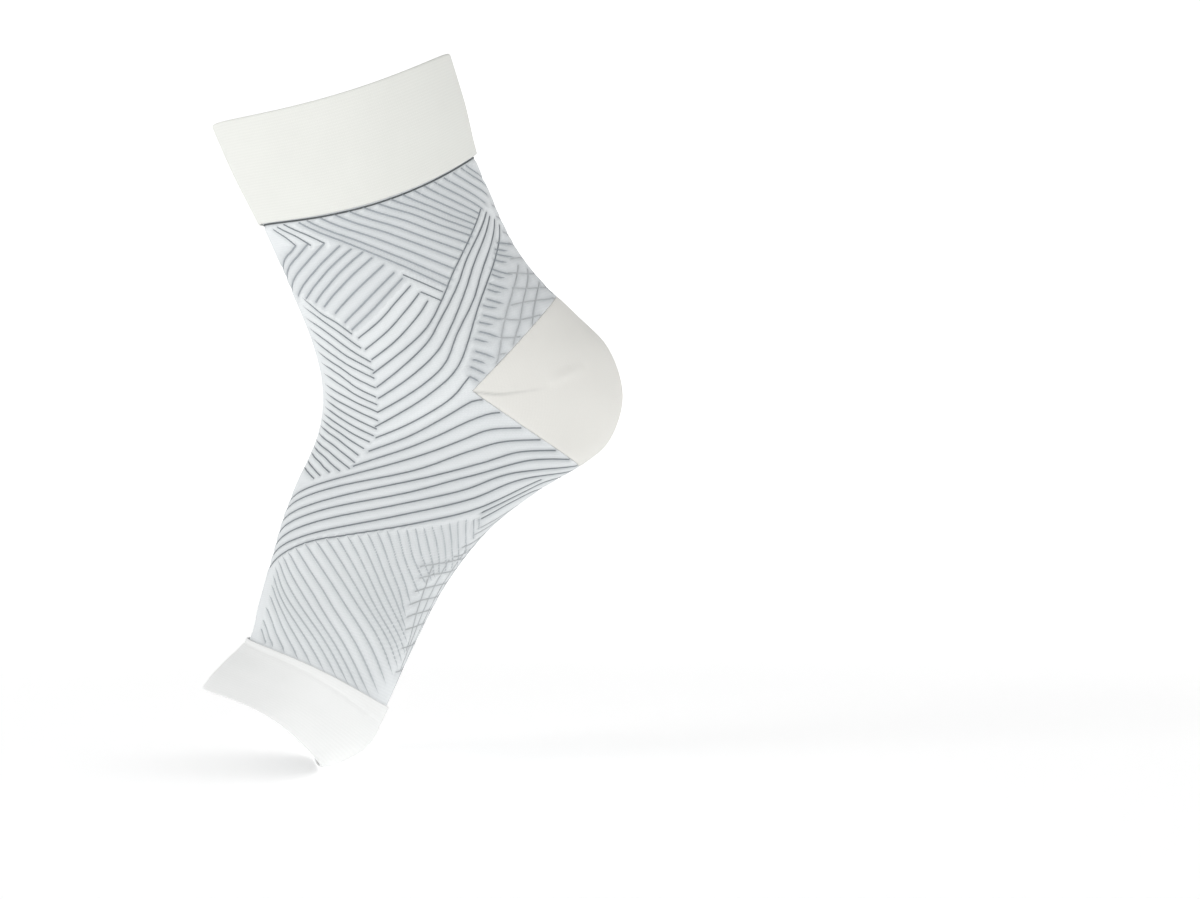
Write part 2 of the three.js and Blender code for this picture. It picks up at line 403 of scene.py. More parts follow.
RIB_FIELDS: tuple[RibField, ...] = (
    # Painted shadow: a dark line just under the cuff's proud hem
    RibField("cuff_hem_shadow", count=1, tone=Tone.HEM_SHADOW, guides=(
        ((2.05, 0), (2.05, 60), (2.05, 120), (2.05, 180)),
    )),
    RibField("cuff_fan", count=16, tone=Tone.SOFT, haze=0.27, guides=(
        ((2.1, 150), (2.25, 155), (2.4, 162), (2.7, 180)),
        ((2.1, 128), (2.45, 136), (2.8, 144), (3.2, 154)),
        ((2.05, 108), (2.5, 117), (3, 127), (3.5, 139)),
        ((2.05, 88), (2.55, 101), (3.2, 114), (3.9, 130)),
        ((2.05, 65), (2.75, 83), (3.5, 99), (4.4, 116)),
        ((2.1, 43), (2.95, 66), (3.9, 86), (5.05, 103)),
    )),
    RibField("shin_chevron_tops", count=3, guides=(
        ((2.2, 18), (2.45, 27), (2.75, 33)),
        ((2.15, 24), (2.45, 36), (2.8, 44)),
        ((2.1, 31), (2.45, 44), (2.8, 53)),
    )),
    RibField("diamond_ties", count=2, guides=(
        ((4.2, 85), (4.65, 92), (5.15, 99)),
        ((4.9, 89), (5.1, 92), (5.4, 96)),
    )),
    RibField("shin_diamond_top", count=5, tone=Tone.SOFT, haze=0.26, guides=(
        ((2.75, 33), (2.9, 27), (3, 20), (3.3, 0)),
        ((2.8, 53), (3.1, 42), (3.4, 27), (3.8, 0)),
        ((3.1, 66), (3.4, 53), (3.75, 38), (4.1, 21)),
    )),
    RibField("shin_diamond_heart", count=5, tone=Tone.SOFT, haze=0.26, guides=(
        ((3.25, 71), (3.55, 58), (3.9, 44), (4.25, 29)),
        ((3.75, 78), (4.05, 66), (4.35, 54), (4.7, 40)),
        ((4.3, 84), (4.65, 72), (5, 60), (5.35, 46)),
    )),
    RibField("shin_diamond_low", count=3, guides=(
        ((4.6, 86), (4.95, 75), (5.35, 63), (5.7, 48)),
        ((5.25, 90), (5.65, 81), (6.25, 65), (6.7, 50)),
    )),
    RibField("front_ankle", count=21, fade_in=0.22, guides=(
        ((4.03, 18), (4.54, 28), (4.98, 38), (5.48, 45)),
        ((4.54, 9), (5.12, 26), (5.86, 38), (6.79, 49)),
        ((5.2, 7), (5.98, 25), (6.8, 37), (7.51, 48)),
        ((6.16, 10), (6.98, 26), (7.75, 37), (8.33, 47)),
        ((7.25, 9), (7.95, 26), (8.56, 38), (9.01, 48)),
        ((8, 8), (8.81, 26), (9.3, 38), (9.69, 49)),
        ((8.84, 6), (9.45, 25), (9.88, 37), (10.24, 48)),
        ((9.47, 3), (10, 24), (10.43, 36), (10.84, 46)),
        ((10.15, 0), (10.61, 22), (10.99, 34), (11.4, 46)),
        ((10.74, 0), (11.11, 19), (11.38, 28), (11.59, 35)),
        ((11.43, 0), (11.6, 12), (11.75, 20), (11.85, 25)),
    )),
    RibField("stirrup", count=5, haze=0.08, guides=(
        ((3.3, 146), (3.95, 127), (4.65, 110), (5.4, 96), (6.2, 80), (7.3, 48)),
        ((3.45, 151), (4.3, 124), (5.1, 108), (5.95, 91), (6.75, 76), (7.9, 48)),
        ((3.6, 153), (4.5, 127), (5.35, 110), (6.35, 92), (7.2, 77), (8.4, 48)),
        ((3.75, 158), (4.85, 128), (5.7, 111), (6.6, 93), (7.7, 77), (9, 48)),
        ((3.95, 162), (5.3, 125), (6.4, 103), (7.8, 83), (8.45, 71), (9.6, 48)),
    )),
    RibField("heel_turn", count=1, guides=(
        ((8.1, 87), (8.3, 84), (8.6, 80), (8.95, 74), (9.55, 62), (10.05, 50)),
    )),
    RibField("arch_band", count=9, haze=0.14, guides=(
        ((10.65, 50), (10.05, 63), (9.45, 74), (8.95, 84), (8.85, 88), (8.85, 92)),
        ((11.3, 47), (10.65, 63), (10.05, 74), (9.55, 84), (9.3, 92), (9.25, 98)),
        ((12.55, 0), (11.8, 43), (10.95, 70), (10.1, 86), (9.75, 95), (9.7, 109)),
        ((12.8, 0), (12.1, 44), (11.45, 75), (10.55, 92), (10.15, 102), (10.05, 118)),
        ((13.1, 0), (12.4, 47), (11.75, 81), (11.05, 101), (10.55, 112), (10.45, 128)),
        ((13.4, 0), (12.7, 46), (12.15, 83), (11.55, 103), (10.9, 120), (10.85, 142)),
        ((13.7, 0), (13, 46), (12.5, 82), (12, 108), (11.35, 122), (11.05, 160)),
        ((13.95, 0), (13.3, 47), (12.75, 88), (12.25, 116), (11.55, 131), (11.25, 165)),
        ((14.25, 0), (13.55, 44), (13.3, 67), (12.9, 101), (12.45, 126), (11.6, 140)),
    )),
    RibField("sole_bars", count=2, haze=0.14, guides=(
        ((12.6, 130), (12.35, 135), (12, 141), (11.6, 150), (11.45, 180)),
        ((12.75, 134), (12.55, 138), (12.25, 143), (11.95, 152), (11.85, 180)),
    )),
    RibField("forefoot", count=31, tone=Tone.FAINT, haze=0.05, fade_in=0.06, fade_out=0.1, guides=(
        ((15.6, 20), (15.75, 26), (15.85, 30), (15.92, 34)),
        ((14.8, 22), (15.1, 34), (15.5, 47), (15.98, 66)),
        ((14.2, 18), (14.8, 42), (15.3, 64), (16, 98)),
        ((13.8, 28), (14.55, 58), (15.2, 83), (16, 126)),
        ((13.45, 48), (14.25, 76), (14.85, 100), (15.55, 137)),
        ((13.3, 68), (14.1, 92), (14.75, 115), (15.25, 142)),
        ((13.15, 83), (13.85, 102), (14.3, 116), (14.7, 127)),
        ((13.05, 98), (13.55, 110), (13.85, 120), (14.1, 131)),
        ((12.95, 110), (13.35, 121), (13.6, 128), (13.9, 136)),
        ((12.8, 121), (13.1, 128), (13.4, 137), (13.7, 150)),
        ((12.7, 131), (12.8, 134), (12.9, 137), (13, 140)),
    )),
    RibField("tendon_bars_long", count=9, tone=Tone.SOFT, haze=0.33, fade_out=0.3, guides=(
        ((4.4, 147), (4.5, 154), (4.65, 166)),
        ((5.05, 131), (5.25, 136), (5.45, 142)),
        ((5.85, 117), (6, 120), (6.15, 123)),
        ((6.75, 102), (6.9, 105), (7.1, 108)),
        ((7.8, 89), (8, 92), (8.15, 94)),
    )),
    RibField("tendon_bars_short", count=9, tone=Tone.SOFT, haze=0.33, fade_out=0.3, guides=(
        ((4.55, 142), (4.65, 147), (4.75, 152)),
        ((5.2, 129), (5.35, 132), (5.45, 135)),
        ((6, 113), (6.1, 115), (6.2, 118)),
        ((6.95, 98), (7.05, 100), (7.15, 102)),
        ((8.1, 87), (8.15, 88), (8.3, 90)),
    )),
    RibField("tendon_net_top", count=4, tone=Tone.NET, haze=0.33, guides=(
        ((3.35, 163), (3.4, 168), (3.45, 174), (3.5, 180)),
        ((4.55, 161), (4.65, 168), (4.7, 174), (4.7, 180)),
    )),
    RibField("tendon_net_lengthways", count=4, tone=Tone.NET, haze=0.33, guides=(
        ((5.25, 154), (5.95, 132), (6.75, 114), (7.85, 99)),
        ((5.45, 163), (6.2, 136), (7.05, 117), (7.5, 109)),
        ((5.9, 165), (6.15, 150), (6.55, 136), (7, 126)),
        ((4.9, 176), (5.3, 175), (5.8, 173), (6.3, 170)),
    )),
    RibField("tendon_net_across", count=7, tone=Tone.NET, haze=0.33, guides=(
        ((5, 150), (5.05, 158), (5.1, 168), (5.15, 180)),
        ((5.35, 140), (5.45, 147), (5.6, 160), (5.65, 180)),
        ((5.8, 135), (5.95, 144), (6.05, 158), (6.15, 180)),
        ((6.25, 126), (6.3, 136), (6.4, 154), (6.45, 180)),
        ((6.5, 114), (6.7, 121), (6.75, 128), (6.75, 140)),
        ((7.1, 108), (7.15, 111), (7.2, 115), (7.2, 119)),
        ((7.6, 102), (7.6, 104), (7.6, 106), (7.6, 108)),
    )),
    RibField("sole_net_across", count=8, tone=Tone.NET, haze=0.19, guides=(
        ((13.8, 120), (13.75, 124), (13.6, 145), (13.5, 180)),
        ((14.1, 125), (13.95, 138), (13.85, 158), (13.8, 180)),
        ((14.45, 126), (14.3, 136), (14.2, 155), (14.15, 180)),
        ((14.75, 129), (14.65, 136), (14.55, 150), (14.5, 180)),
        ((15.05, 134), (15, 139), (14.9, 152), (14.85, 180)),
        ((15.5, 140), (15.45, 150), (15.4, 165), (15.4, 180)),
    )),
    RibField("sole_heel_across", count=4, tone=Tone.NET, haze=0.19, guides=(
        ((12.95, 140), (12.75, 147), (12.4, 160), (12.25, 180)),
        ((13.55, 138), (13.5, 145), (13.3, 160), (13.2, 180)),
    )),
    RibField("sole_net_lengthways", count=7, tone=Tone.NET, haze=0.19, guides=(
        ((13.75, 127), (14.15, 131), (14.65, 135), (15.2, 142)),
        ((13.4, 146), (14.1, 147), (14.9, 149), (15.7, 152)),
        ((12.9, 160), (13.9, 161), (14.8, 162), (15.7, 164)),
        ((12.3, 174), (13.6, 174), (14.7, 174), (15.7, 174)),
    )),
)


class Socket:
    """A shader value; an operator on it adds a Math node."""

    def __init__(self, bench: "NodeBench", socket: bpy.types.NodeSocket) -> None:
        """Wraps a node's output."""
        self.bench = bench
        self.socket = socket

    def math(self, operation: str, *others: Any) -> "Socket":
        """This value and others through one Math node."""
        return self.bench.math(operation, self, *others)

    def __add__(self, other: Any) -> "Socket":
        """Sum."""
        return self.math("ADD", other)

    __radd__ = __add__

    def __mul__(self, other: Any) -> "Socket":
        """Product."""
        return self.math("MULTIPLY", other)

    def __sub__(self, other: Any) -> "Socket":
        """Difference."""
        return self.math("SUBTRACT", other)

    def __rsub__(self, other: Any) -> "Socket":
        """Difference with this value taken away."""
        return self.bench.math("SUBTRACT", other, self)

    def __pow__(self, other: Any) -> "Socket":
        """Power."""
        return self.math("POWER", other)

    def __abs__(self) -> "Socket":
        """Size without sign."""
        return self.math("ABSOLUTE")


class NodeBench:
    """Builds the nodes of one tree."""

    def __init__(self, tree: bpy.types.NodeTree) -> None:
        """Starts from an empty tree."""
        self.tree = tree
        tree.nodes.clear()

    def node(self, kind: str, settings: Values = None, inputs: Values = None) -> bpy.types.Node:
        """Adds a node.

        Args:
            kind: the node's type.
            settings: properties, which are set first.
            inputs: values or links of its sockets, by name or number.

        Returns:
            The node.
        """
        made = self.tree.nodes.new(kind)
        for name, value in (settings or {}).items():
            setattr(made, name, value)
        for name, value in (inputs or {}).items():
            source = value.socket if isinstance(value, Socket) else value
            if isinstance(source, bpy.types.NodeSocket):
                self.tree.links.new(source, made.inputs[name])
            else:
                made.inputs[name].default_value = source
        return made

    def value(self, kind: str, output: str | int, settings: Values = None, inputs: Values = None) -> Socket:
        """Adds a node and wraps one of its outputs."""
        return Socket(self, self.node(kind, settings, inputs).outputs[output])

    def math(self, operation: str, *values: Any) -> Socket:
        """Values through one Math node."""
        return self.value("ShaderNodeMath", 0, {"operation": operation}, dict(enumerate(values)))

    def place(self) -> bpy.types.NodeSocket:
        """Position in the piece's own space."""
        return self.node("ShaderNodeTexCoord").outputs["Object"]

    def plan(self, vector: bpy.types.NodeSocket) -> tuple[Socket, Socket]:
        """X and Y of a vector."""
        parts = self.node("ShaderNodeSeparateXYZ", None, {0: vector})
        return Socket(self, parts.outputs["X"]), Socket(self, parts.outputs["Y"])

    def noise(self, scale: float, detail: float) -> Socket:
        """Noise over the piece."""
        inputs = {"Vector": self.place(), "Scale": scale, "Detail": detail}
        return self.value("ShaderNodeTexNoise", 0, None, inputs)

    def mix(self, share: Socket, low: Any, high: Any) -> Socket:
        """Colour between two others."""
        return self.value("ShaderNodeMix", 2, {"data_type": "RGBA"}, {0: share, 6: low, 7: high})

    def bump(self, strength: float, distance: float, height: Socket) -> Socket:
        """Normal that a fine relief tilts."""
        inputs = {"Strength": strength, "Distance": distance, "Height": height}
        return self.value("ShaderNodeBump", "Normal", None, inputs)

    def surface(self, inputs: dict[str, Any]) -> None:
        """Principled surface of a material."""
        shader = self.node("ShaderNodeBsdfPrincipled", None, inputs)
        self.node("ShaderNodeOutputMaterial", None, {"Surface": shader.outputs["BSDF"]})


def new_material(name: str) -> tuple[bpy.types.Material, NodeBench]:
    """Makes an empty material.

    Args:
        name: the material's name.

    Returns:
        The material, and the bench that builds its nodes.
    """
    made = bpy.data.materials.new(name)
    made.use_nodes = True
    return made, NodeBench(made.node_tree)


def linear(red: int, green: int, blue: int) -> Colour:
    """Scene colour of a screen colour.

    Args:
        red: screen level from 0 to 255.
        green: screen level from 0 to 255.
        blue: screen level from 0 to 255.

    Returns:
        The colour as the shaders read it, opaque.
    """
    def channel(level: float) -> float:
        """One channel from screen to scene."""
        return level / 12.92 if level <= 0.04045 else ((level + 0.055) / 1.055) ** 2.4
    return (channel(red / 255), channel(green / 255), channel(blue / 255), 1.0)


def grey(level: float) -> Colour:
    """Grey scene colour."""
    return (level, level, level, 1.0)


@dataclass(frozen=True)
class KnitFinish:
    """Plain knit: rows of small stitches over a soft change of tone."""

    name: str
    light: Colour
    shade: Colour
    wales: int
    courses: int
    relief: float = 0.12
    # colour of the painted shade that darkens the knit beside its grooves and in creases
    painted_shade_colour: Colour = (0.5, 0.5, 0.5, 1.0)
    depth: float = 0.0002
    roughness: float = 0.82
    roughness_range: float = 0.12
    sheen: float = 0.12
    sheen_roughness: float = 0.6
    shine: float = 0.25
    stitch_lean: float = 0.5
    stitch_gap: int = 4
    stitch_tone: float = 0.35
    stitch_relief: float = 0.75
    cloud_scale: float = 45.0
    cloud_detail: float = 3.0
    cloud_tone: float = 0.45
    fuzz_scale: float = 2600.0
    fuzz_detail: float = 2.0
    fuzz_tone: float = 0.35
    fuzz_relief: float = 0.35

    def material(self) -> bpy.types.Material:
        """Builds the material.

        Returns:
            A material with stitches on the knit's UV map.
        """
        made, bench = new_material(self.name)
        across, along = bench.plan(bench.node("ShaderNodeUVMap", {"uv_map": KNIT_MAP}).outputs["UV"])
        edge = abs((across * self.wales).math("FRACT") - 0.5) * 2
        leg = ((along * self.courses + edge * self.stitch_lean) * math.tau).math("SINE") * 0.5 + 0.5
        stitch = leg * (1 - edge**self.stitch_gap)
        cloud = bench.noise(self.cloud_scale, self.cloud_detail)
        fuzz = bench.noise(self.fuzz_scale, self.fuzz_detail)
        tone = cloud * self.cloud_tone + stitch * self.stitch_tone + fuzz * self.fuzz_tone
        height = stitch * self.stitch_relief + fuzz * self.fuzz_relief
        # Painted shade: the knit darkens toward its painted shade colour where the attribute says, beside
        # grooves and in the heel's crease
        painted_shade = bench.value("ShaderNodeAttribute", "Fac", {"attribute_name": PAINTED_SHADE})
        bench.surface({
            "Base Color": bench.mix(painted_shade, bench.mix(tone, self.shade, self.light), self.painted_shade_colour),
            "Roughness": self.roughness + (cloud - 0.5) * self.roughness_range,
            "Sheen Weight": self.sheen,
            "Sheen Roughness": self.sheen_roughness,
            "Specular IOR Level": self.shine,
            "Normal": bench.bump(self.relief, self.depth, height),
        })
        return made


@dataclass(frozen=True)
class GrooveFinish:
    """Dark line at the bottom of a groove, partly darker yarn and partly painted shade, broken by the loops
    that cross it; under the cuff's hem it is a painted shadow.
    """

    name: str
    light: Colour
    shade: Colour
    widen: float = 1.0
    # how much painted shade the groove lays on the knit beside it
    painted_shade: float = 0.5
    loop_scale: float = 900.0
    loop_tone: float = 0.5
    cloud_scale: float = 60.0
    cloud_tone: float = 0.5
    detail: float = 2.0
    relief: float = 0.3
    depth: float = 0.0002
    roughness: float = 0.85
    roughness_range: float = 0.15
    shine: float = 0.15

    def material(self) -> bpy.types.Material:
        """Builds the material.

        Returns:
            A material that changes tone along the groove.
        """
        made, bench = new_material(self.name)
        loops = bench.noise(self.loop_scale, self.detail)
        cloud = bench.noise(self.cloud_scale, self.detail)
        tone = loops * self.loop_tone + cloud * self.cloud_tone
        bench.surface({
            "Base Color": bench.mix(tone, self.shade, self.light),
            "Roughness": self.roughness + (loops - 0.5) * self.roughness_range,
            "Specular IOR Level": self.shine,
            "Normal": bench.bump(self.relief, self.depth, loops),
        })
        return made


# Each finish's painted_shade_colour is painted shade: beside the grooves on the body, in the gore crease on
# the heel
BODY_KNIT = KnitFinish(
    "body_knit", linear(234, 237, 238), linear(217, 221, 223), wales=280, courses=240, relief=0.2,
    painted_shade_colour=linear(166, 171, 175))
CUFF_KNIT = KnitFinish("cuff_knit", linear(233, 234, 229), linear(221, 222, 217), wales=300, courses=150)
# The heel's painted_shade_colour is the painted shade in its gore crease
HEEL_KNIT = KnitFinish(
    "heel_knit", linear(233, 232, 227), linear(222, 221, 216), wales=280, courses=240,
    painted_shade_colour=linear(200, 200, 196))
TOE_KNIT = KnitFinish("toe_knit", linear(243, 244, 243), linear(232, 233, 232), wales=300, courses=110)
# Groove colours: darker yarn with painted shade of the groove; the hem line is a painted shadow
GROOVE_FINISHES: dict[Tone, GrooveFinish] = {
    Tone.DEEP: GrooveFinish("groove_deep", linear(148, 154, 158), linear(112, 118, 122)),
    Tone.SOFT: GrooveFinish("groove_soft", linear(172, 178, 183), linear(148, 154, 159), 1.2, 0.4),
    Tone.FAINT: GrooveFinish("groove_faint", linear(194, 199, 202), linear(174, 179, 183), 1.2, 0.35),
    Tone.NET: GrooveFinish("groove_net", linear(197, 200, 202), linear(170, 174, 176), 0.85, 0.22),
    # painted shadow under the cuff's proud hem
    Tone.HEM_SHADOW: GrooveFinish("hem_shadow_line", linear(112, 116, 118), linear(84, 88, 90), 1.3, 0.5),
}


def put_in_scene(name: str, data: bpy.types.ID) -> Piece:
    """Makes an object for a mesh, a light or a camera.

    Args:
        name: the object's name.
        data: what it shows.

    Returns:
        The object, at the origin.
    """
    made = bpy.data.objects.new(name, data)
    bpy.context.scene.collection.objects.link(made)
    return made


def grid_round(stations: Array, columns: int) -> list[Array]:
    """Stations and angles of a grid round the tube, with a ring at each station."""
    angles = np.linspace(0, math.tau, columns, endpoint=False)
    return np.meshgrid(stations, angles, indexing="ij")


def ring_shell(name: str, points: Array, lengthways: Array, painted_shades: Array | None = None) -> Shell:
    """Closed shell from rings of points, with the knit's UV map.

    Args:
        name: the shell's name, for the log.
        points: rings by columns by xyz; the last ring joins the first.
        lengthways: place of each ring along the knit, from 0 to 1.
        painted_shades: painted shade of the knit at each point of the first rings, from 0 to 1.

    Returns:
        The shell, with its faces turned outwards.
    """
    rings, columns = points.shape[:2]
    shell = bmesh.new()
    shading = shell.verts.layers.float.new(PAINTED_SHADE)
    verts = [shell.verts.new(p) for p in points.reshape(-1, 3)]
    if painted_shades is not None:
        for vert, painted_shade in zip(verts, painted_shades.ravel()):
            vert[shading] = painted_shade
    layer = shell.loops.layers.uv.new(KNIT_MAP)
    for ring in range(rings):
        following = (ring + 1) % rings
        for column in range(columns):
            beside = (column + 1) % columns
            corners = ((ring, column), (ring, column + 1), (following, column + 1), (following, column))
            places = ((ring, column), (ring, beside), (following, beside), (following, column))
            face = shell.faces.new([verts[r * columns + c] for r, c in places])
            face.smooth = True
            for loop, (r, c) in zip(face.loops, corners):
                loop[layer].uv = (c / columns, lengthways[r])
    bmesh.ops.recalc_face_normals(shell, faces=shell.faces[:])
    LOG.info("%s: %d rings of %d", name, rings, columns)
    return shell


def finished(name: str, shell: Shell, material: bpy.types.Material) -> Piece:
    """Makes a piece of a finished shell.

    Args:
        name: the piece's name.
        shell: its form, which is used up.
        material: its finish.

    Returns:
        The piece.
    """
    mesh = bpy.data.meshes.new(name)
    shell.to_mesh(mesh)
    shell.free()
    mesh.materials.append(material)
    return put_in_scene(name, mesh)


@dataclass
class RibLines:
    """Geometry Nodes sweep that lays a flat dark ribbon along each groove, darker yarn with painted groove
    shade.
    """

    width: float = 0.5
    height: float = 0.2
    step: float = 0.9
    lift: float = 0.07
    sides: int = 6

    UNIT_RADIUS = 0.5

    def tree(self) -> bpy.types.NodeTree:
        """Builds the sweep.

        Returns:
            A node tree that turns edges into ribbons, with named inputs for the sizes.
        """
        made = bpy.data.node_groups.new("Groove ribbons", "GeometryNodeTree")
        made.interface.new_socket("Geometry", in_out="INPUT", socket_type="NodeSocketGeometry")
        for name in ("Width", "Height"):
            made.interface.new_socket(name, in_out="INPUT", socket_type="NodeSocketFloat")
        made.interface.new_socket("Material", in_out="INPUT", socket_type="NodeSocketMaterial")
        made.interface.new_socket("Geometry", in_out="OUTPUT", socket_type="NodeSocketGeometry")
        bench = NodeBench(made)
        entry = bench.node("NodeGroupInput").outputs
        outward, strength = (
            bench.value("GeometryNodeInputNamedAttribute", "Attribute", {"data_type": kind}, {"Name": name})
            for name, kind in (("outward", "FLOAT_VECTOR"), ("strength", "FLOAT"))
        )
        paths = bench.value("GeometryNodeMeshToCurve", 0, None, {"Mesh": entry["Geometry"]})
        turned = bench.value(
            "GeometryNodeSetCurveNormal", 0, {"mode": "FREE"}, {"Curve": paths, "Normal": outward})
        sized = bench.value("GeometryNodeSetCurveRadius", 0, None, {"Curve": turned, "Radius": strength})
        ring = bench.value("GeometryNodeCurvePrimitiveCircle", "Curve", None,
                           {"Resolution": self.sides, "Radius": self.UNIT_RADIUS})
        flat = bench.value(
            "ShaderNodeCombineXYZ", 0, None, {"X": entry["Height"], "Y": entry["Width"], "Z": 1.0})
        profile = bench.value("GeometryNodeTransform", 0, None, {"Geometry": ring, "Scale": flat})
        swept = bench.value("GeometryNodeCurveToMesh", 0, None, {
            "Curve": sized, "Profile Curve": profile, "Scale": strength, "Fill Caps": True})
        smooth = bench.value("GeometryNodeSetShadeSmooth", 0, None, {"Geometry": swept})
        plain = bench.value("GeometryNodeRealizeInstances", 0, None, {"Geometry": smooth})
        dressed = bench.value(
            "GeometryNodeSetMaterial", 0, None, {"Geometry": plain, "Material": entry["Material"]})
        bench.node("NodeGroupOutput", None, {"Geometry": dressed})
        return made

    def sweep(
        self, name: str, tree: bpy.types.NodeTree, lines: list[tuple[Array, Array, Array]],
        material: bpy.types.Material, widen: float = 1.0,
    ) -> Piece:
        """One piece of ribbons.

        Args:
            name: the piece's name.
            tree: the node tree of the ribbons.
            lines: for each ribbon its points in metres, outward vectors and strengths.
            material: the ribbons' finish.
            widen: share of the usual width.

        Returns:
            A piece with a plain mesh and no modifier.
        """
        points, outward, strengths = (np.concatenate(parts) for parts in zip(*lines))
        edges, start = [], 0
        for line in lines:
            edges += [(start + k, start + k + 1) for k in range(len(line[0]) - 1)]
            start += len(line[0])
        mesh = bpy.data.meshes.new(name + "_paths")
        mesh.from_pydata(points.tolist(), edges, [])
        directions = mesh.attributes.new("outward", "FLOAT_VECTOR", "POINT")
        directions.data.foreach_set("vector", outward.astype(np.float32).ravel())
        widths = mesh.attributes.new("strength", "FLOAT", "POINT")
        widths.data.foreach_set("value", strengths.astype(np.float32))
        piece = put_in_scene(name, mesh)
        modifier = piece.modifiers.new("Groove ribbons", "NODES")
        modifier.node_group = tree
        sizes = {"Width": self.width * widen * MM, "Height": self.height * MM, "Material": material}
        for item in tree.interface.items_tree:
            if item.in_out == "INPUT" and item.name in sizes:
                modifier[item.identifier] = sizes[item.name]
        evaluated = piece.evaluated_get(bpy.context.evaluated_depsgraph_get())
        plain = bpy.data.meshes.new_from_object(evaluated)
        piece.modifiers.clear()
        piece.data = plain
        plain.name = name
        return piece


@dataclass
class AnkleBody:
    """Ribbed knit tube from the cuff to the forefoot, with the heel cut out."""

    form: SleeveForm
    wedge: HeelWedge
    columns: int = 280
    rings: int = 288
    inner_rings: int = 56
    groove_depth: float = 0.62
    groove_reach: float = 1.1
    net_depth: float = 0.5
    haze_reach: float = 3.2
    heel_clear: float = 0.4

    CAST_FROM = 2.0

    def grooves(self, step: float) -> list[Groove]:
        """Lays out the grooves.

        Args:
            step: distance between points in millimetres.

        Returns:
            Every groove of both sides, as far as it lies clear of the heel.
        """
        found = []
        for line in (line for rib_field in RIB_FIELDS for line in rib_field.lines(self.form, step * MM)):
            clear = self.wedge.depth(self.form.point(line.stations, line.angles)) < -self.heel_clear
            ends = np.flatnonzero(np.diff(np.concatenate([[False], clear, [False]]).astype(int)))
            if not clear.any() or ends[1] - ends[0] < 2:
                continue
            part = slice(ends[0], ends[1])
            found += [
                Groove(line.field, line.stations[part], side * line.angles[part], line.strengths[part])
                for side in (NEAR_SIDE, FAR_SIDE)
            ]
        return found

    def build(self, ribs: RibLines) -> list[Piece]:
        """Builds the tube and its grooves.

        Args:
            ribs: the sweep that makes the grooves' ribbons.

        Returns:
            The tube, then one piece of ribbons for each tone.
        """
        top = self.form.station_from(self.form.station("cuff_hem"), -CUFF_TUCK)
        end = self.form.station_from(self.form.station("toe_hem"), TOE_TUCK)
        grooves = self.grooves(ribs.step)
        outside = np.linspace(top, end, self.rings)
        inside = np.linspace(end, top, self.inner_rings)
        grid = grid_round(outside, self.columns)
        # Dips beside the grooves, and the painted shade that darkens the knit there
        insets, painted_shades = self.relief(grooves, self.form.point(*grid))
        outer = self.form.point(*grid, insets)
        inner = self.form.point(*grid_round(inside, self.columns), BODY_WALL)
        lengths = self.form.length_at(np.concatenate([outside, inside]))
        share = (lengths - lengths.min()) / np.ptp(lengths)
        shell = ring_shell("ankle_body", np.concatenate([outer, inner]), share, painted_shades)
        self.wedge.cut(shell, keep_inside=False)
        tube = finished("body_knit_tube", shell, BODY_KNIT.material())
        return [tube, *self.ribbons(ribs, grooves, outer)]

    def relief(self, grooves: list[Groove], surface: Array) -> tuple[Array, Array]:
        """Form and painted shade of the knit beside its grooves.

        Args:
            grooves: every groove of the tube.
            surface: points of the plain tube in metres.

        Returns:
            How far each point dips in millimetres, and its painted shade from 0 to 1, with its field's haze
            of grey.
        """
        spots = np.concatenate([self.form.point(g.stations, g.angles) for g in grooves])
        depths = np.concatenate([
            g.strengths * (self.net_depth if g.field.tone is Tone.NET else 1) for g in grooves])
        shades = np.concatenate([g.strengths * GROOVE_FINISHES[g.field.tone].painted_shade for g in grooves])
        hazes = np.concatenate([np.full(len(g.stations), g.field.haze) for g in grooves])
        gaps, nearest = self.closest(spots, surface)
        fall = np.exp(-((gaps / self.groove_reach) ** 2))
        haze = hazes[nearest] * np.exp(-((gaps / self.haze_reach) ** 2))
        return self.groove_depth * depths[nearest] * fall, shades[nearest] * fall**2 + haze

    @staticmethod
    def closest(spots: Array, surface: Array) -> tuple[Array, Array]:
        """Finds the spot nearest to each surface point.

        Args:
            spots: points to look for.
            surface: grid of points to look from, in metres.

        Returns:
            Each surface point's distance in millimetres to its nearest spot, and that spot's number.
        """
        finder = KDTree(len(spots))
        for index, spot in enumerate(spots):
            finder.insert(spot, index)
        finder.balance()
        found = [finder.find(point)[1:] for point in surface.reshape(-1, 3)]
        numbers = np.array([index for index, _ in found]).reshape(surface.shape[:2])
        gaps = np.array([gap for _, gap in found]).reshape(surface.shape[:2])
        return gaps / MM, numbers

    def ribbons(self, ribs: RibLines, grooves: list[Groove], outer: Array) -> list[Piece]:
        """Lays ribbons on the tube's outer face.

        Args:
            ribs: the sweep that makes them.
            grooves: every groove of the tube.
            outer: points of the tube's outer face in metres.

        Returns:
            One piece for each tone.
        """
        rings, columns = outer.shape[:2]
        quads = [(r * columns + c, r * columns + (c + 1) % columns,
                  (r + 1) * columns + (c + 1) % columns, (r + 1) * columns + c)
                 for r in range(rings - 1) for c in range(columns)]
        ground = BVHTree.FromPolygons(outer.reshape(-1, 3).tolist(), quads)
        tree = ribs.tree()
        made = []
        for tone, finish in GROOVE_FINISHES.items():
            lines = []
            for groove in (groove for groove in grooves if groove.field.tone is tone):
                outward = self.form.outward(groove.stations, groove.angles)
                plain = self.form.point(groove.stations, groove.angles)
                above = plain + outward * self.CAST_FROM * MM
                spots = [ground.ray_cast(Vector(p), Vector(-n))[0] for p, n in zip(above, outward)]
                resting = np.array([p if s is None else s for s, p in zip(spots, plain)])
                lines.append((resting + outward * ribs.lift * MM, outward, groove.strengths))
            made.append(ribs.sweep("body_" + finish.name, tree, lines, finish.material(), finish.widen))
        return made


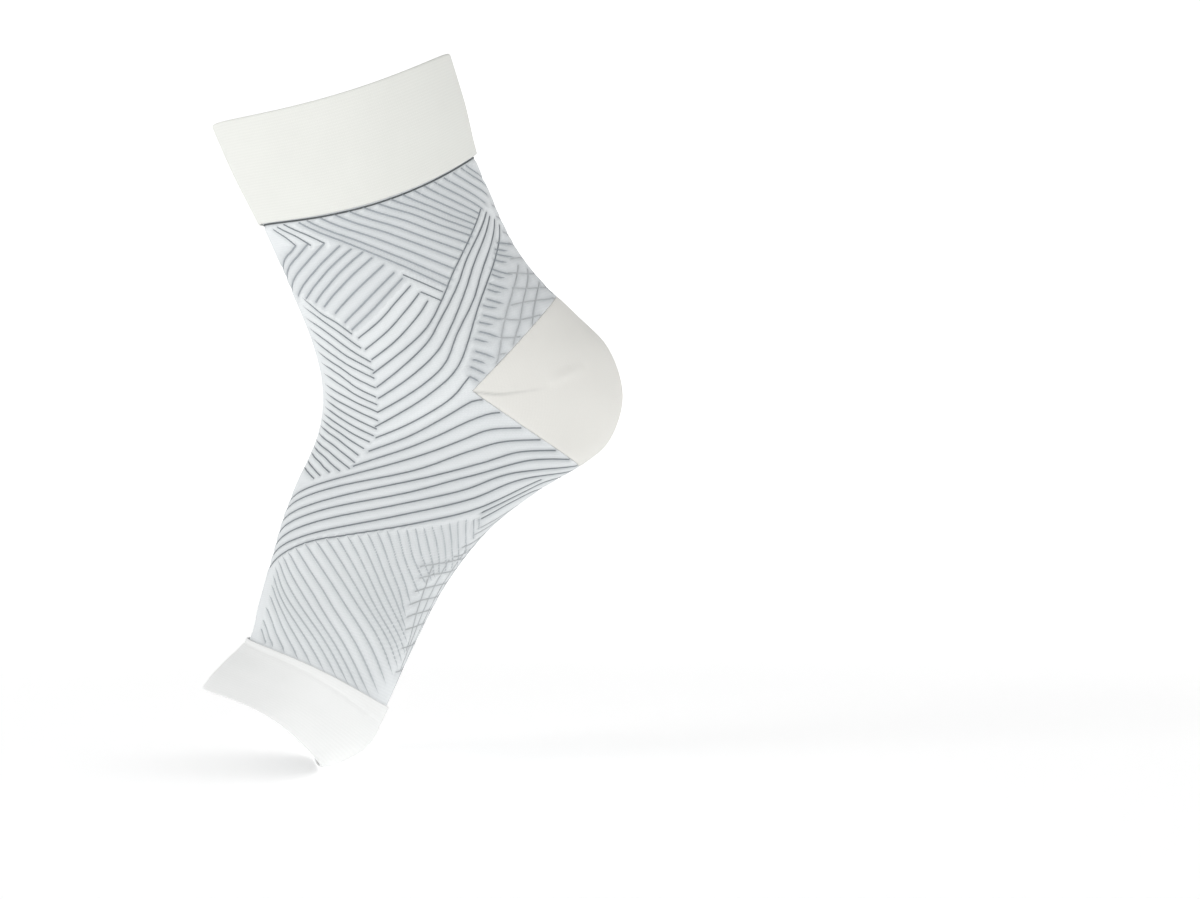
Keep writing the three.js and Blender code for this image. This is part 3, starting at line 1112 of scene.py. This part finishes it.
@dataclass
class HeelCup:
    """Plain knit heel pocket, set in the body's cut with a soft turned-down edge and a gore crease darkened
    with painted shade.
    """

    form: SleeveForm
    wedge: HeelWedge
    wall: float = 1.6
    proud: float = 0.2
    columns: int = 300
    rings: int = 190
    edge_drop: float = 0.25
    edge_reach: float = 1.0
    crease: Line = ((12.6, -11.9), (21.0, -12.5), (28.0, -11.7), (38.0, -10.3))
    ridge: Line = ((38.5, -8.6), (42.0, -7.1), (46.0, -5.1), (52.0, -2.7))
    crease_depth: float = 0.24
    crease_reach: float = 0.5
    ridge_height: float = 0.85
    ridge_reach: float = 1.9

    MARKS = 60

    def build(self) -> Piece:
        """Builds the pocket from a tube cut to the wedge.

        Returns:
            The pocket.
        """
        stations = np.linspace(self.form.station("ankle_top"), self.form.station("arch"), self.rings)
        grid = grid_round(stations, self.columns)
        surface = self.form.point(*grid)
        depth = np.maximum(self.wedge.depth(surface), 0)
        insets = -self.proud + self.edge_drop * np.exp(-((depth / self.edge_reach) ** 2))
        creased = self.near(surface, self.crease, self.crease_reach, fade_out=True)
        ridged = self.near(surface, self.ridge, self.ridge_reach, fade_out=False)
        insets += self.crease_depth * creased - self.ridge_height * ridged
        outer = self.form.point(*grid, insets)
        inner = self.form.point(*grid, self.wall - self.proud)[::-1]
        share = np.linspace(0, 1, self.rings)
        lengthways = np.concatenate([share, share[::-1]])
        # The crease's closeness is also the painted shade that darkens it
        shell = ring_shell("heel_cup", np.concatenate([outer, inner]), lengthways, creased)
        self.wedge.cut(shell, keep_inside=True)
        return finished("heel_pocket", shell, HEEL_KNIT.material())

    def near(self, surface: Array, line: Line, reach: float, fade_out: bool) -> Array:
        """Closeness to a line of the side view.

        Args:
            surface: positions in metres.
            line: the line's points in millimetres.
            reach: how far its effect goes, in millimetres.
            fade_out: thin out towards the line's end, or else towards both ends.

        Returns:
            1 on the line, falling to 0 away from it.
        """
        points = np.array(line)
        steps = np.linspace(0, len(points) - 1, self.MARKS)
        marks = curve_through(points, steps)
        share = steps / steps[-1]
        weight = 1 - share**2 if fade_out else np.sin(np.pi * share)
        places = surface[..., [0, 2]].reshape(-1, 1, 2) / MM
        gaps = np.linalg.norm(places - marks[None], axis=-1)
        closest = gaps.argmin(axis=1)
        fall = np.exp(-((gaps.min(axis=1) / reach) ** 2)) * weight[closest]
        return fall.reshape(surface.shape[:2])


@dataclass
class TurnedBand:
    """Band of knit turned double over a rim, with the body's edge tucked between its leaves."""

    form: SleeveForm
    piece: str
    rim: str
    hem: str
    leaf: float
    tuck: float
    finish: KnitFinish
    columns: int = 240
    face_steps: int = 64
    leaf_ease: float = 4.0
    leaf_gap: float = 0.1
    leaf_setback: float = 1.0
    fold_front: float = 0.0
    fold_back: float = 0.0
    fold_depth: float = 0.0
    fold_reach: float = 0.5
    turn_steps: int = 8
    lining_steps: int = 12
    slot_steps: int = 5
    back_steps: int = 18

    def profile(self) -> list[tuple[float, float]]:
        """Draws the band's section.

        Returns:
            Stations and insets of a closed line, from the hem over the rim and back.
        """
        rim, hem = self.form.station(self.rim), self.form.station(self.hem)
        inward = 1 if hem > rim else -1

        def from_rim(length: float) -> float:
            """Station some millimetres in from the rim."""
            return self.form.station_from(rim, inward * length)

        def from_hem(length: float) -> float:
            """Station some millimetres from the hem towards the rim."""
            return self.form.station_from(hem, -inward * length)

        half = self.leaf / 2
        outer = -(SEAM_GAP + self.leaf)
        lining = self.leaf_gap - SEAM_GAP
        inner = BODY_WALL + SEAM_GAP
        slot = from_hem(self.tuck + SEAM_GAP)
        parting = from_hem(self.tuck + SEAM_GAP + self.leaf_ease)
        fold, setback = from_rim(self.leaf), self.leaf_setback + half
        roll = (lining + self.leaf - outer) / 2
        turn = np.linspace(0, math.pi, self.turn_steps + 1)
        face = np.linspace(from_hem(half), fold, self.face_steps)
        shape = [(from_hem(half - half * math.sin(t)), half * math.cos(t) - half - SEAM_GAP) for t in turn]
        shape += [(s, outer) for s in face[1:-1]]
        shape += [(from_rim(self.leaf * (1 - math.sin(t))), outer + roll * (1 - math.cos(t))) for t in turn]
        shape += [(s, lining + self.leaf) for s in np.linspace(fold, parting, self.lining_steps)[1:]]
        shape += [(s, inner + self.leaf) for s in np.linspace(slot, from_hem(setback), self.slot_steps)]
        shape += [(from_hem(setback - half * math.sin(t)), inner + half + half * math.cos(t))
                  for t in turn[1:-1]]
        shape += [(s, inner) for s in np.linspace(from_hem(setback), slot, self.slot_steps)]
        shape += [(s, lining) for s in np.linspace(parting, fold, self.lining_steps)]
        shape += [(s, -SEAM_GAP) for s in np.linspace(fold, from_hem(half), self.back_steps)[:-1]]
        return shape

    def dent(self, stations: Array, angles: Array) -> Array:
        """Dent of the sewn fold line, which leaves the hem towards the back of the band.

        Args:
            stations: places along the sleeve, in sections.
            angles: turn round the tube, in radians.

        Returns:
            Depth in millimetres at each place.
        """
        back = ((1 - np.cos(angles)) / 2) ** 2
        line = self.fold_front + (self.fold_back - self.fold_front) * back
        hem = self.form.length_at(self.form.station(self.hem))
        gap = np.abs(self.form.length_at(stations) - hem) - line
        return self.fold_depth * np.exp(-((gap / self.fold_reach) ** 2))

    def build(self) -> Piece:
        """Builds the band as one closed ring.

        Returns:
            The band.
        """
        section = np.array(self.profile())
        stations, angles = grid_round(section[:, 0], self.columns)
        insets = np.tile(section[:, 1:2], self.columns)
        face = slice(self.turn_steps + 1, self.turn_steps + self.face_steps - 1)
        insets[face] += self.dent(stations[face], angles[face])
        points = self.form.point(stations, angles, insets)
        steps = np.linalg.norm(np.diff(points[:, 0], axis=0), axis=1)
        share = np.concatenate([[0.0], np.cumsum(steps)])
        shell = ring_shell(self.piece, points, share / share[-1])
        return finished(self.piece, shell, self.finish.material())


class Lamp(NamedTuple):
    """Soft square light: its place and size in metres, and its power in watts."""

    name: str
    place: tuple[float, float, float]
    size: float
    power: float


LAMPS: tuple[Lamp, ...] = (
    Lamp("key_light", (-1.9, -1.1, 0.9), 1.2, 8.5),
    Lamp("fill_light", (1.6, -1.4, 0.6), 1.4, 2.0),
)


@dataclass
class Studio:
    """Pale floor that curves up all round, soft lights and the camera."""

    pixels_per_mm: float = 2.8
    frame_px: tuple[float, float] = (1200.0, 899.0)
    origin_px: tuple[float, float] = (430.0, 360.0)
    lens: float = 100.0
    sensor: float = 36.0
    nearest: float = 0.05
    farthest: float = 30.0
    azimuth: float = -8.0
    elevation: float = 0.5
    floor_start: float = 0.1
    floor_flat: float = 1.6
    floor_reach: float = 4.5
    floor_rise: float = 2.6
    floor_rings: int = 48
    floor_columns: int = 96
    paper_tone: float = 0.9
    paper_roughness: float = 0.9
    paper_shine: float = 0.1
    near_glow: float = 0.4
    far_glow: float = 0.6
    glow_start: float = 0.4
    glow_run: float = 1.8
    room_glow: float = 0.4

    def camera(self) -> None:
        """Camera at the photograph's angle and framing."""
        distance = self.frame_px[0] * self.lens / self.sensor / self.pixels_per_mm * MM
        aim = Vector((
            (self.frame_px[0] / 2 - self.origin_px[0]) / self.pixels_per_mm * MM, 0,
            (self.origin_px[1] - self.frame_px[1] / 2) / self.pixels_per_mm * MM,
        ))
        turn, lift = math.radians(self.azimuth), math.radians(self.elevation)
        away = Vector((math.sin(turn) * math.cos(lift), -math.cos(turn) * math.cos(lift), math.sin(lift)))
        data = bpy.data.cameras.new("photo_camera")
        data.lens, data.sensor_width = self.lens, self.sensor
        data.clip_start, data.clip_end = self.nearest, self.farthest
        camera = put_in_scene("photo_camera", data)
        camera.location = aim + away * distance
        camera.rotation_euler = (-away).to_track_quat("-Z", "Y").to_euler()
        bpy.context.scene.camera = camera

    def floor(self, level: float) -> Piece:
        """Builds a wide pale dish that the sleeve stands over.

        Args:
            level: height of its flat middle in metres.

        Returns:
            The floor.
        """
        turns = np.linspace(0, math.tau, self.floor_columns, endpoint=False)
        dish = bmesh.new()
        centre = dish.verts.new((0, 0, level))
        rows = []
        for radius in np.linspace(self.floor_start, self.floor_reach, self.floor_rings):
            climb = max(0.0, (radius - self.floor_flat) / (self.floor_reach - self.floor_flat))
            height = level + self.floor_rise * climb**2
            ring = [(radius * math.cos(a), radius * math.sin(a), height) for a in turns]
            rows.append([dish.verts.new(place) for place in ring])
        for k in range(self.floor_columns):
            beside = (k + 1) % self.floor_columns
            dish.faces.new((centre, rows[0][k], rows[0][beside]))
            for low, high in zip(rows, rows[1:]):
                dish.faces.new((low[k], high[k], high[beside], low[beside]))
        for face in dish.faces:
            face.smooth = True
        return finished("pale_floor", dish, self.paper())

    def paper(self) -> bpy.types.Material:
        """Builds the floor's material.

        Returns:
            White paper that glows more towards its far rise.
        """
        made, bench = new_material("pale_floor")
        x, y = bench.plan(bench.place())
        radius = (x * x + y * y) ** 0.5
        far = ((radius - self.glow_start) * (1 / self.glow_run)).math("MAXIMUM", 0.0).math("MINIMUM", 1.0)
        bench.surface({
            "Base Color": grey(self.paper_tone),
            "Roughness": self.paper_roughness,
            "Specular IOR Level": self.paper_shine,
            "Emission Color": bench.mix(far, grey(self.near_glow), grey(self.far_glow)),
            "Emission Strength": 1.0,
        })
        return made

    def build(self, level: float) -> None:
        """Builds the studio round the sleeve.

        Args:
            level: height of the sleeve's lowest point in metres.
        """
        self.camera()
        self.floor(level)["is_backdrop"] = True
        for lamp in LAMPS:
            data = bpy.data.lights.new(lamp.name, "AREA")
            data.shape, data.size, data.energy = "SQUARE", lamp.size, lamp.power
            light = put_in_scene(lamp.name, data)
            light.location = lamp.place
            light.rotation_euler = (-Vector(lamp.place)).to_track_quat("-Z", "Y").to_euler()
        world = bpy.data.worlds.new("white_room")
        world.use_nodes = True
        bench = NodeBench(world.node_tree)
        sky = bench.node("ShaderNodeBackground", None, {"Color": grey(1.0), "Strength": self.room_glow})
        bench.node("ShaderNodeOutputWorld", None, {"Surface": sky.outputs[0]})
        bpy.context.scene.world = world
        bpy.context.scene.view_settings.view_transform = "Standard"


def report(piece: Piece, node: str | None = None) -> None:
    """Logs a piece's triangles and size.

    Args:
        piece: the piece.
        node: the node that it stands for, if any.
    """
    corners = np.array([v.co for v in piece.data.vertices])
    low, high = corners.min(axis=0) / MM, corners.max(axis=0) / MM
    triangles = sum(len(p.vertices) - 2 for p in piece.data.polygons)
    LOG.info("%s: %d triangles, %s to %s mm", piece.name, triangles, low.round(1), high.round(1))
    if node:
        lowest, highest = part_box(node)
        LOG.info("  in place of %s, %s to %s mm", node,
                 (np.array(lowest) / MM).round(1), (np.array(highest) / MM).round(1))


def main() -> None:
    """Builds every piece, dresses it and puts the sleeve in the studio."""
    logging.basicConfig(level=logging.INFO, format="%(message)s")
    form = SleeveForm()
    body, *ribbons = AnkleBody(form, HeelWedge(clearance=HEEL_GAP)).build(RibLines())
    cuff = TurnedBand(
        form, "cuff_band", "cuff_rim", "cuff_hem", leaf=0.9, tuck=CUFF_TUCK, finish=CUFF_KNIT).build()
    toe = TurnedBand(
        form, "toe_band_knit", "toe_rim", "toe_hem", leaf=0.7, tuck=TOE_TUCK, finish=TOE_KNIT,
        fold_front=2.4, fold_back=6.5, fold_depth=0.25, fold_reach=0.7).build()
    heel = HeelCup(form, HeelWedge()).build()

    for piece, node, slot in (
        (cuff, "top_cuff", "cuff_knit"),
        (body, "ankle_body", "body_knit"),
        (heel, "heel_cup", "heel_knit"),
        (toe, "toe_band", "toe_knit"),
    ):
        report(piece, node)
        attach(piece, BODY)
        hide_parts(node)
    for ribbon in ribbons:
        report(ribbon)
        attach(ribbon, BODY)

    visual_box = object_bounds()
    Studio().build(float(visual_box[0][2]))


if __name__ == "__main__":
    main()
